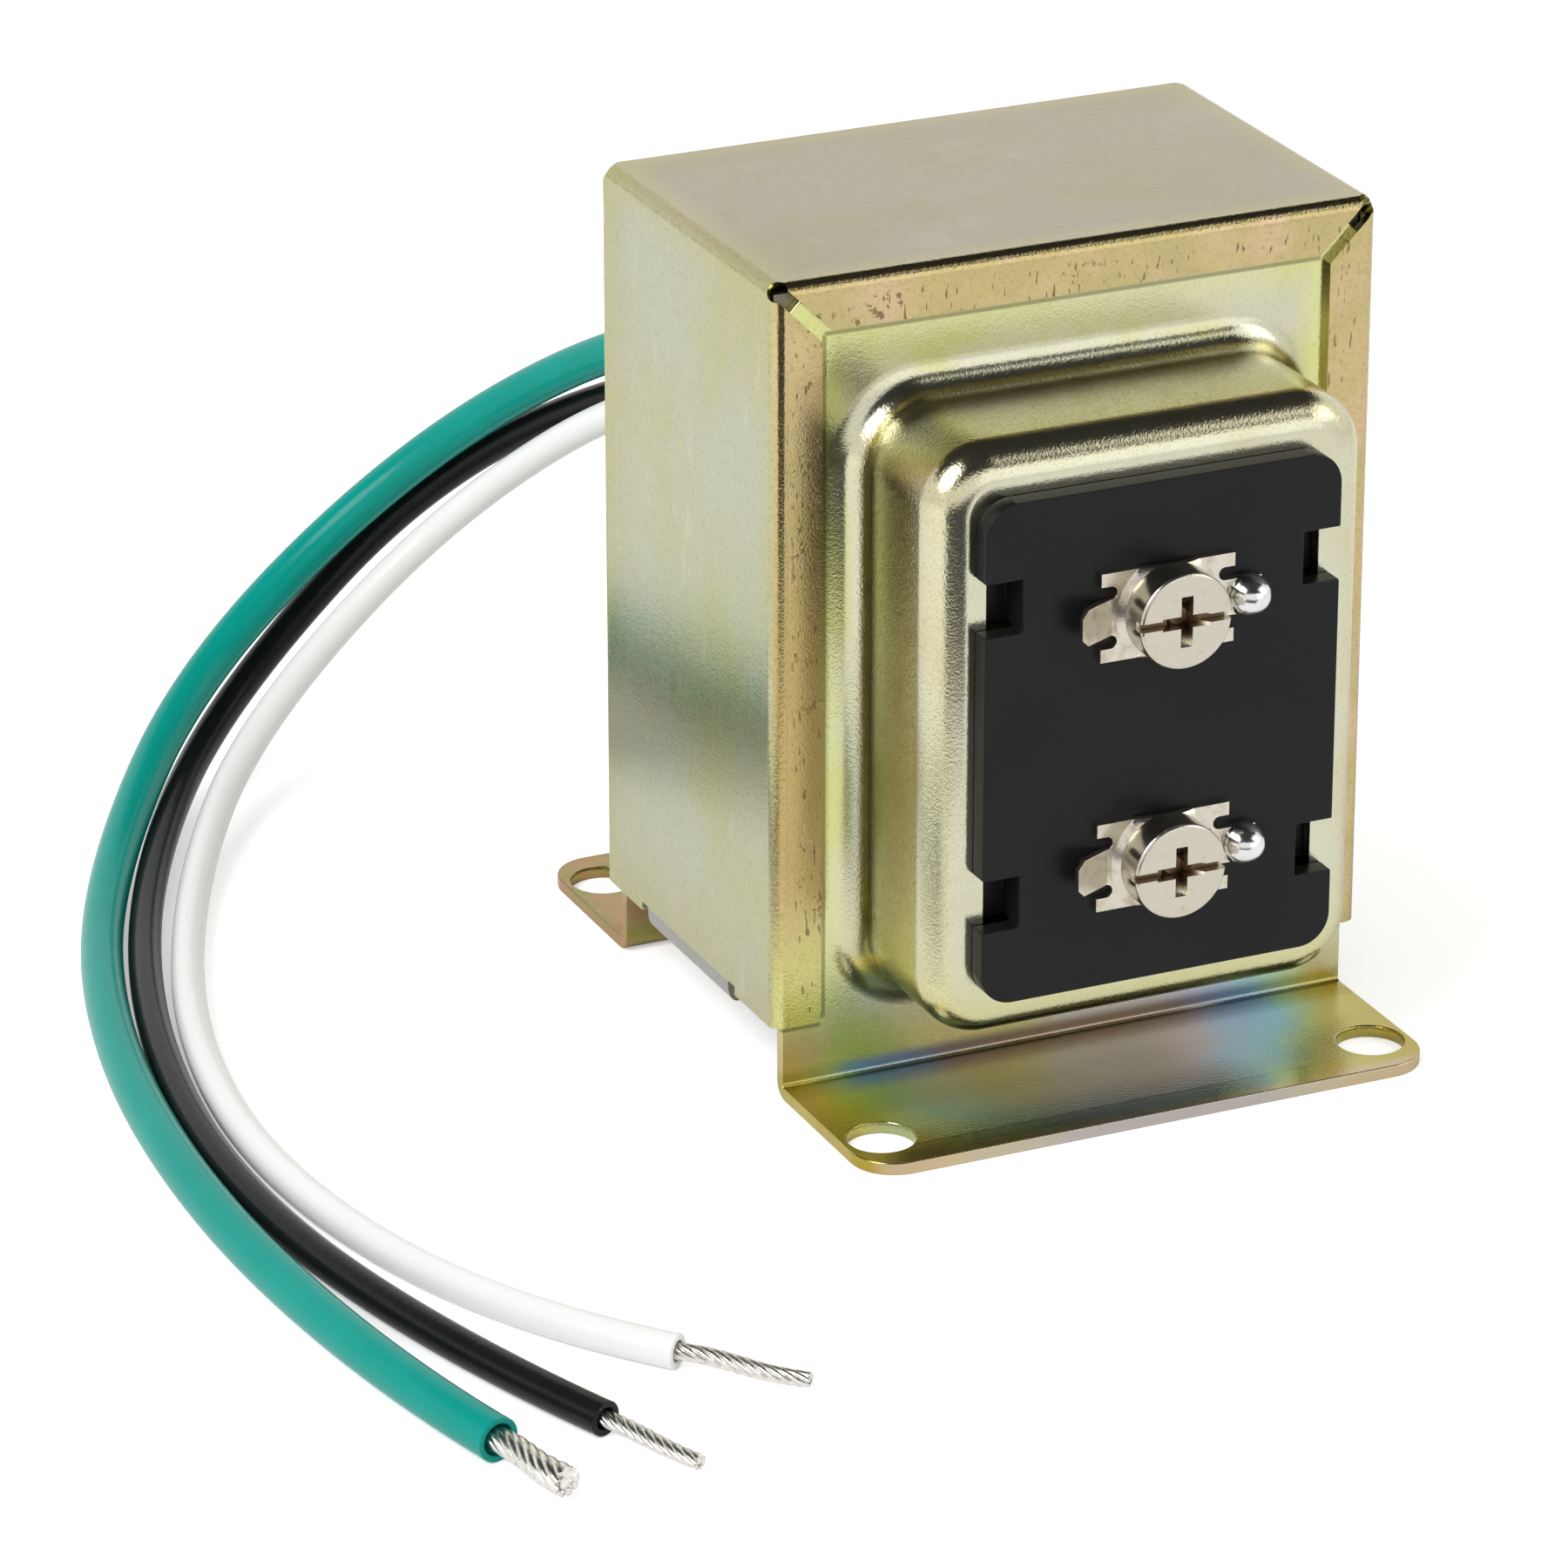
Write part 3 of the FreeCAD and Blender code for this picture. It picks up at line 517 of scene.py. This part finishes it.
nickel, place = open_finish("terminal_nickel")
smear = grain(place, 0.9, detail=4.0)
pit = grain(place, 6.0, detail=2.0)
nickel_colour = tint(step(smear, 0.45, 0.75), (0.66, 0.62, 0.53), (0.5, 0.42, 0.32))
nickel_feeds = {"Base Color": nickel_colour, "Metallic": 1.0, "Roughness": 0.14 + 0.16 * smear}
close_finish(nickel, nickel_feeds, pit, nickel_pits)
plates = dress("terminal_plate_upper", "terminal_plates", 0.00010)
terminal_pair(plates, nickel, "nickel_plate", "terminal_plate")

screw_nickel, place = open_finish("screw_nickel")
x, y, z = axes(place)
smear = grain(place, 1.1, detail=4.0, shift=(4, 0, 0))
pit = grain(place, 6.0, detail=2.0)
half_spacing = terminal_spacing * 500
middle = terminal_height * 1000 - half_spacing
level = abs(abs(z - middle) - half_spacing)
inside = 1 - step(x * x + level * level, 11.0, 12.5)
# Painted shade: the slot and the cross recess are coloured dark brown.
recess_shade = inside * step(y, head_face, recess_floor)
screw_colour = tint(0.5 * step(smear, 0.55, 0.8), (0.6, 0.56, 0.47), (0.42, 0.35, 0.26))
screw_colour = tint(recess_shade, screw_colour, (0.17, 0.115, 0.065))
screw_feeds = {
    "Base Color": screw_colour,
    "Metallic": 1.0,
    "Roughness": 0.13 + 0.15 * smear + 0.2 * recess_shade,
}
close_finish(screw_nickel, screw_feeds, pit, nickel_pits)
screws = dress("terminal_screw_upper", "terminal_screws", 0.00015)
terminal_pair(screws, screw_nickel, "screw_steel", "terminal_screw")

tin, place = open_finish("bright_solder")
flow = grain(place, 0.8, detail=3.0)
tin_colour = tint(flow, (0.7, 0.7, 0.69), (0.86, 0.86, 0.85))
tin_feeds = {"Base Color": tin_colour, "Metallic": 1.0, "Roughness": 0.1 + 0.15 * flow}
close_finish(tin, tin_feeds, flow, 0.00004)
form = bmesh.new()
bmesh.ops.create_icosphere(form, subdivisions=5, radius=1.0)
for vertex in form.verts:
    way = vertex.co.copy()
    bulge = 0.04 * math.sin(3.0 * way.x + 1.0) * math.cos(2.5 * way.z)
    swell = 1 + bulge + 0.03 * math.sin(4.0 * way.y)
    vertex.co = Vector((way.x, min(way.y, solder_back), way.z)) * swell
    vertex.co = Vector(a * b for a, b in zip(vertex.co, solder_size)) + Vector(solder_place)
for face in form.faces:
    face.smooth = True
shape = bpy.data.meshes.new("solder_domes")
form.to_mesh(shape)
form.free()
solder = bpy.data.objects.new("solder_domes", shape)
bpy.context.scene.collection.objects.link(solder)
terminal_pair(solder, tin, "solder", "solder_joint")

# Lead outlet: a black nylon snap bushing in the rear bell. Inside, plain sleeves cover the joints
# of the line leads and a tinned lug bonds the green lead to the bell.
bushing_black, place = open_finish("bushing_black")
skin = grain(place, 2.0, detail=4.0)
bushing_colour = tint(skin, (0.02, 0.02, 0.02), (0.035, 0.034, 0.033))
bushing_feeds = {"Base Color": bushing_colour, "Roughness": 0.35 + 0.2 * skin}
close_finish(bushing_black, bushing_feeds, skin, 0.00002)
bushing = dress("lead_bushing", "bushing", 0.00015)
fit(bushing, bushing_black, "bushing_nylon", "lead_bushing")

sleeve_cream, place = open_finish("sleeve_cream")
cloud = grain(place, 0.8, detail=3.0)
sleeve_colour = tint(cloud, (0.72, 0.7, 0.64), (0.8, 0.79, 0.74))
sleeve_feeds = {"Base Color": sleeve_colour, "Roughness": 0.4 + 0.2 * cloud}
close_finish(sleeve_cream, sleeve_feeds, cloud, 0.00002)
for name in ("black_splice_sleeve", "white_splice_sleeve"):
    paint(name, sleeve_cream)

strand_tin, place = open_finish("tinned_strands")
dull = grain(place, 2.2, detail=4.0)
strand_colour = tint(step(dull, 0.4, 0.7), (0.8, 0.78, 0.74), (0.58, 0.55, 0.5))
strand_feeds = {"Base Color": strand_colour, "Metallic": 1.0, "Roughness": 0.16 + 0.2 * dull}
close_finish(strand_tin, strand_feeds, dull, 0.00002)
paint("ground_lug", strand_tin)

# Leads: PVC insulated stranded wire, green for earth and black and white for the line. They come
# out of the bushing, fall behind the body and lie on the table in one loose sweep to the front
# left, where each is cut square and stripped.
routes = {
    "green": (
        (-6.0, 25.0, 44.2), (-6.4, 42.0, 41.2), (-18.5, 65.2, 25.2), (-40.5, 64.0, 8.8),
        (-57.5, 40.5, 1.65), (-67.0, 13.0, 1.65), (-70.5, -16.5, 1.65), (-68.4, -45.5, 1.65),
        (-65.0, -58.6, 1.65),
    ),
    "black": (
        (-4.1, 25.0, 40.3), (-4.6, 43.0, 36.8), (-17.7, 67.0, 21.8), (-38.5, 64.0, 5.0),
        (-53.5, 41.5, 1.3), (-64.0, 12.0, 1.3), (-67.5, -16.5, 1.3), (-62.6, -44.0, 1.3),
        (-57.0, -58.2, 1.3),
    ),
    "white": (
        (-7.9, 25.0, 40.3), (-8.2, 42.0, 36.0), (-18.9, 62.5, 19.2), (-38.0, 58.0, 5.1),
        (-51.0, 38.0, 1.3), (-61.5, 10.0, 1.3), (-64.0, -16.0, 1.3), (-57.5, -41.0, 1.3),
        (-48.7, -51.2, 1.3),
    ),
}
lead_facts = {
    "green": {
        "diameter": 3.3, "length": 202.3, "strands": 9, "wire": 1.95,
        "bare": 8.4, "turns": 0.8, "bend": 0.15, "close": -0.25,
    },
    "black": {
        "diameter": 2.6, "length": 202.2, "strands": 7, "wire": 1.3,
        "bare": 9.8, "turns": 1.5, "bend": 0.1, "close": 0.15,
    },
    "white": {
        "diameter": 2.6, "length": 185.4, "strands": 7, "wire": 1.3,
        "bare": 10.9, "turns": 1.6, "bend": 0.25, "close": 0.15,
    },
}
lead_colours = {
    "green": ((0.0, 0.26, 0.21), (0.0, 0.31, 0.26)),
    "black": ((0.008, 0.007, 0.008), (0.012, 0.011, 0.012)),
    "white": ((0.82, 0.82, 0.81), (0.86, 0.86, 0.85)),
}
strand_share = 0.17
bore_slack = 1.22

strand_sizes = {
    "Strands": "NodeSocketInt",
    "Wire": "NodeSocketFloat",
    "Strand": "NodeSocketFloat",
    "Bare": "NodeSocketFloat",
    "Turns": "NodeSocketFloat",
    "Bend": "NodeSocketFloat",
    "Close": "NodeSocketFloat",
    "Finish": "NodeSocketMaterial",
}
strand_tree, entry = new_tree("twisted_strands", strand_sizes)
reach = entry["Bare"].node("ShaderNodeCombineXYZ", {}, {"Z": entry["Bare"]})
line = reach.node("GeometryNodeCurvePrimitiveLine", {}, {"End": reach})
line = line.node("GeometryNodeResampleCurve", {}, {"Curve": line, "Count": 48})
copies = line.tree.nodes.new("GeometryNodeDuplicateElements")
copies.domain = "SPLINE"
line.tree.links.new(line.socket, copies.inputs["Geometry"])
line.tree.links.new(entry["Strands"].socket, copies.inputs["Amount"])
strand_index = Flow(strand_tree, copies.outputs["Duplicate Index"])
along = line.node("GeometryNodeSplineParameter", {}, {})
angle = 2 * math.pi * (strand_index / entry["Strands"] + along * entry["Turns"])
closing = step(along, 0.45, 1.0)
lay = (entry["Wire"] * 0.5 - entry["Strand"]) * (1 - entry["Close"] * closing)
cosine = angle.sums("COSINE", angle, 0.0)
sine = angle.sums("SINE", angle, 0.0)
sway = entry["Bend"] * angle.sums("SINE", along * (2 * math.pi), 0.0)
offset = lay.node("ShaderNodeCombineXYZ", {}, {"X": lay * cosine + sway, "Y": lay * sine})
straight = Flow(strand_tree, copies.outputs[0])
laid = lay.node("GeometryNodeSetPosition", {}, {"Geometry": straight, "Offset": offset})


def wire(path, sides, radius):
    round_wire = {"Resolution": sides, "Radius": radius}
    profile = path.node("GeometryNodeCurvePrimitiveCircle", {}, round_wire)
    feeds = {"Curve": path, "Profile Curve": profile, "Fill Caps": True}
    return path.node("GeometryNodeCurveToMesh", {}, feeds)


outer = wire(laid, 10, entry["Strand"])
core_offset = lay.node("ShaderNodeCombineXYZ", {}, {"X": sway})
core_line = lay.node("GeometryNodeSetPosition", {}, {"Geometry": line, "Offset": core_offset})
core = wire(core_line, 16, entry["Wire"] * 0.5 - entry["Strand"])
bundle = strand_tree.nodes.new("GeometryNodeJoinGeometry")
for part in (outer, core):
    strand_tree.links.new(part.socket, bundle.inputs[0])
joined = Flow(strand_tree, bundle.outputs[0])
smooth = lay.node("GeometryNodeSetShadeSmooth", {}, {"Geometry": joined})
end_tree(strand_tree, smooth, entry["Finish"])


def cut_end(name, radius, bore):
    """The hollow last stretch of the insulation, slack round the strands."""
    reach, ease = 0.0008, 0.00008
    profile = (
        (radius, 0.0), (radius, reach - ease), (radius - ease, reach),
        (bore + ease, reach), (bore, reach - ease), (bore, 0.0),
    )
    form = bmesh.new()
    ring = [form.verts.new((width, 0.0, height)) for width, height in profile]
    edges = [form.edges.new(pair) for pair in zip(ring, ring[1:] + ring[:1])]
    axis = {"axis": (0, 0, 1), "cent": (0, 0, 0)}
    turn = {"angle": 2 * math.pi, "steps": 40, "use_merge": True}
    bmesh.ops.spin(form, geom=ring + edges, **axis, **turn)
    bmesh.ops.recalc_face_normals(form, faces=form.faces)
    shape = bpy.data.meshes.new(name)
    form.to_mesh(shape)
    form.free()
    piece = bpy.data.objects.new(name, shape)
    bpy.context.scene.collection.objects.link(piece)
    return piece


for name, points in routes.items():
    facts = lead_facts[name]
    pvc, place = open_finish(name + "_pvc")
    cloud = grain(place, 0.15, detail=3.0)
    skin = grain(place, 1.5, detail=3.0)
    pvc_colour = tint(cloud, *lead_colours[name])
    pvc_feeds = {
        "Base Color": pvc_colour,
        "Roughness": 0.17 + 0.1 * skin,
        "Specular IOR Level": 0.18,
    }
    close_finish(pvc, pvc_feeds, skin, 0.00002)

    path = bpy.data.curves.new(name + "_insulation", "CURVE")
    path.dimensions = "3D"
    path.bevel_depth = facts["diameter"] / 2000
    path.bevel_resolution = 8
    path.use_fill_caps = True
    path.resolution_u = 24
    spline = path.splines.new("NURBS")
    spline.points.add(len(points) - 1)
    for point, spot in zip(spline.points, points):
        point.co = (*(value / 1000 for value in spot), 1.0)
    spline.order_u = 3
    spline.use_endpoint_u = True
    path.materials.append(pvc)
    lead = bpy.data.objects.new(name + "_insulation", path)
    bpy.context.scene.collection.objects.link(lead)
    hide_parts(name + "_lead")
    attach(lead, "root")

    tip = Vector(points[-1]) / 1000
    heading = (Vector(points[-1]) - Vector(points[-2])).normalized()
    strands = bpy.data.objects.new(name + "_strands", bpy.data.meshes.new(name + "_strands"))
    bpy.context.scene.collection.objects.link(strands)
    sizes = {
        "Strands": facts["strands"],
        "Wire": facts["wire"] / 1000,
        "Strand": facts["wire"] / 1000 * strand_share,
        "Bare": facts["bare"] / 1000,
        "Turns": facts["turns"],
        "Bend": facts["bend"] / 1000,
        "Close": facts["close"],
        "Finish": strand_tin,
    }
    grow(strands, strand_tree, sizes)
    facing = Matrix.Translation(tip) @ heading.to_track_quat("Z", "Y").to_matrix().to_4x4()
    strands.data.transform(facing)
    fit(strands, strand_tin, "tinned_copper", name + "_conductor")
    bore = facts["wire"] / 2000 * bore_slack
    end = cut_end(name + "_end", facts["diameter"] / 2000, bore)
    end.data.transform(facing)
    fit(end, pvc, name + "_pvc", name + "_lead")

# Table and studio: a plain white table under a white sky, a soft round lamp high at the left, a
# weaker one at the right and a low card of light in front. Two black cards, seen only by shiny
# surfaces, give the metal its dark bands. The camera stands front left and above, with a long lens.
table_glow = 0.42
mirrored_glow = 0.2
table_white, place = open_finish("table_white")
fibre = grain(place, 0.4, detail=3.0)
rays = table_white.node_tree.nodes.new("ShaderNodeLightPath")
seen = Flow(table_white.node_tree, rays.outputs["Is Camera Ray"])
glossy = Flow(table_white.node_tree, rays.outputs["Is Glossy Ray"])
through = Flow(table_white.node_tree, rays.outputs["Is Transmission Ray"])
glow = seen + mirrored_glow * (glossy + through)
table_feeds = {
    "Base Color": tint(fibre, (0.93, 0.93, 0.93), (0.95, 0.95, 0.95)),
    "Roughness": 0.9,
    "Specular IOR Level": 0.1,
    "Emission Color": tint(glow, (0.0, 0.0, 0.0), (1.0, 1.0, 1.0)),
    "Emission Strength": table_glow,
}
close_finish(table_white, table_feeds)
form = bmesh.new()
bmesh.ops.create_grid(form, x_segments=1, y_segments=1, size=3.0)
shape = bpy.data.meshes.new("table")
form.to_mesh(shape)
form.free()
shape.materials.append(table_white)
table = bpy.data.objects.new("table", shape)
bpy.context.scene.collection.objects.link(table)

world = bpy.data.worlds.new("studio")
bpy.context.scene.world = world
world.use_nodes = True
tree = world.node_tree
rays = tree.nodes.new("ShaderNodeLightPath")
seen = Flow(tree, rays.outputs["Is Camera Ray"])
glossy = Flow(tree, rays.outputs["Is Glossy Ray"])
through = Flow(tree, rays.outputs["Is Transmission Ray"])
shown = seen.sums("MAXIMUM", seen.sums("MAXIMUM", seen, glossy), through)
ambient = 0.6
sky = tree.nodes["Background"]
tree.links.new((ambient + (1 - ambient) * shown).socket, sky.inputs["Strength"])
sky.inputs["Color"].default_value = (1.0, 1.0, 1.0, 1.0)


def lamp(name, shape, spot, aim, size, power):
    light = bpy.data.lights.new(name, "AREA")
    light.shape = shape
    light.size, light.size_y = size
    light.energy = power
    holder = bpy.data.objects.new(name, light)
    holder.location = spot
    holder.rotation_euler = (Vector(aim) - Vector(spot)).to_track_quat("-Z", "Y").to_euler()
    bpy.context.scene.collection.objects.link(holder)


lamp("key_softbox", "ELLIPSE", (-0.62, -0.21, 0.62), (0, 0, 0.03), (0.54, 0.54), 4.8)
lamp("front_card", "RECTANGLE", (0.36, -0.9, 0.28), (0, 0, 0.05), (0.6, 0.5), 0.36)
lamp("fill_softbox", "RECTANGLE", (0.7, -0.45, 0.6), (0, 0, 0.03), (0.6, 0.6), 1.5)

flag_black, place = open_finish("flag_black")
weave = grain(place, 1.0)
cloth = tint(weave, (0.02, 0.02, 0.02), (0.03, 0.03, 0.03))
close_finish(flag_black, {"Base Color": cloth, "Roughness": 1.0})


def flag(name, corners):
    """A black card that only the shiny surfaces see."""
    shape = bpy.data.meshes.new(name)
    shape.from_pydata([tuple(corner) for corner in corners], [], [tuple(range(len(corners)))])
    shape.materials.append(flag_black)
    card = bpy.data.objects.new(name, shape)
    bpy.context.scene.collection.objects.link(card)
    for kind in ("camera", "diffuse", "transmission", "shadow", "volume_scatter"):
        setattr(card, "visible_" + kind, False)


dome_corner = Vector((-0.016, -0.0275, 0.0002))
card_turns = (42, 57, 72, 87, 102)


def card_corner(distance, turn):
    """A corner of the table card, set out from the foot of the dome's left shoulder."""
    angle = math.radians(turn)
    return dome_corner - distance * Vector((math.cos(angle), math.sin(angle), 0))


near = [card_corner(0.087, turn) for turn in card_turns]
far = [card_corner(0.6, turn) for turn in reversed(card_turns)]
flag("table_flag", near + far)
ceiling = ((-1.35, -1.35), (1.0, -1.35), (1.0, 0.95), (-1.35, 0.95))
flag("ceiling_flag", [(*corner, 0.9) for corner in ceiling])

swing = math.radians(-24.5093)
tilt = math.radians(22.9946)
camera_distance = 0.58352
lens_to_sensor = 4.8938
back = Vector((math.sin(swing) * math.cos(tilt), -math.cos(swing) * math.cos(tilt), math.sin(tilt)))
right = Vector((math.cos(swing), math.sin(swing), 0))
up = back.cross(right)
aim = Vector((0, 0, 0.030)) + right * -0.015015 + up * -0.013215
lens = bpy.data.cameras.new("camera")
lens.sensor_width = 36.0
lens.lens = lens_to_sensor * lens.sensor_width
lens.clip_start = 0.01
camera = bpy.data.objects.new("camera", lens)
camera.location = aim + back * camera_distance
camera.rotation_euler = (-back).to_track_quat("-Z", "Y").to_euler()
bpy.context.scene.collection.objects.link(camera)
bpy.context.scene.camera = camera
bpy.context.scene.view_settings.view_transform = "Standard"
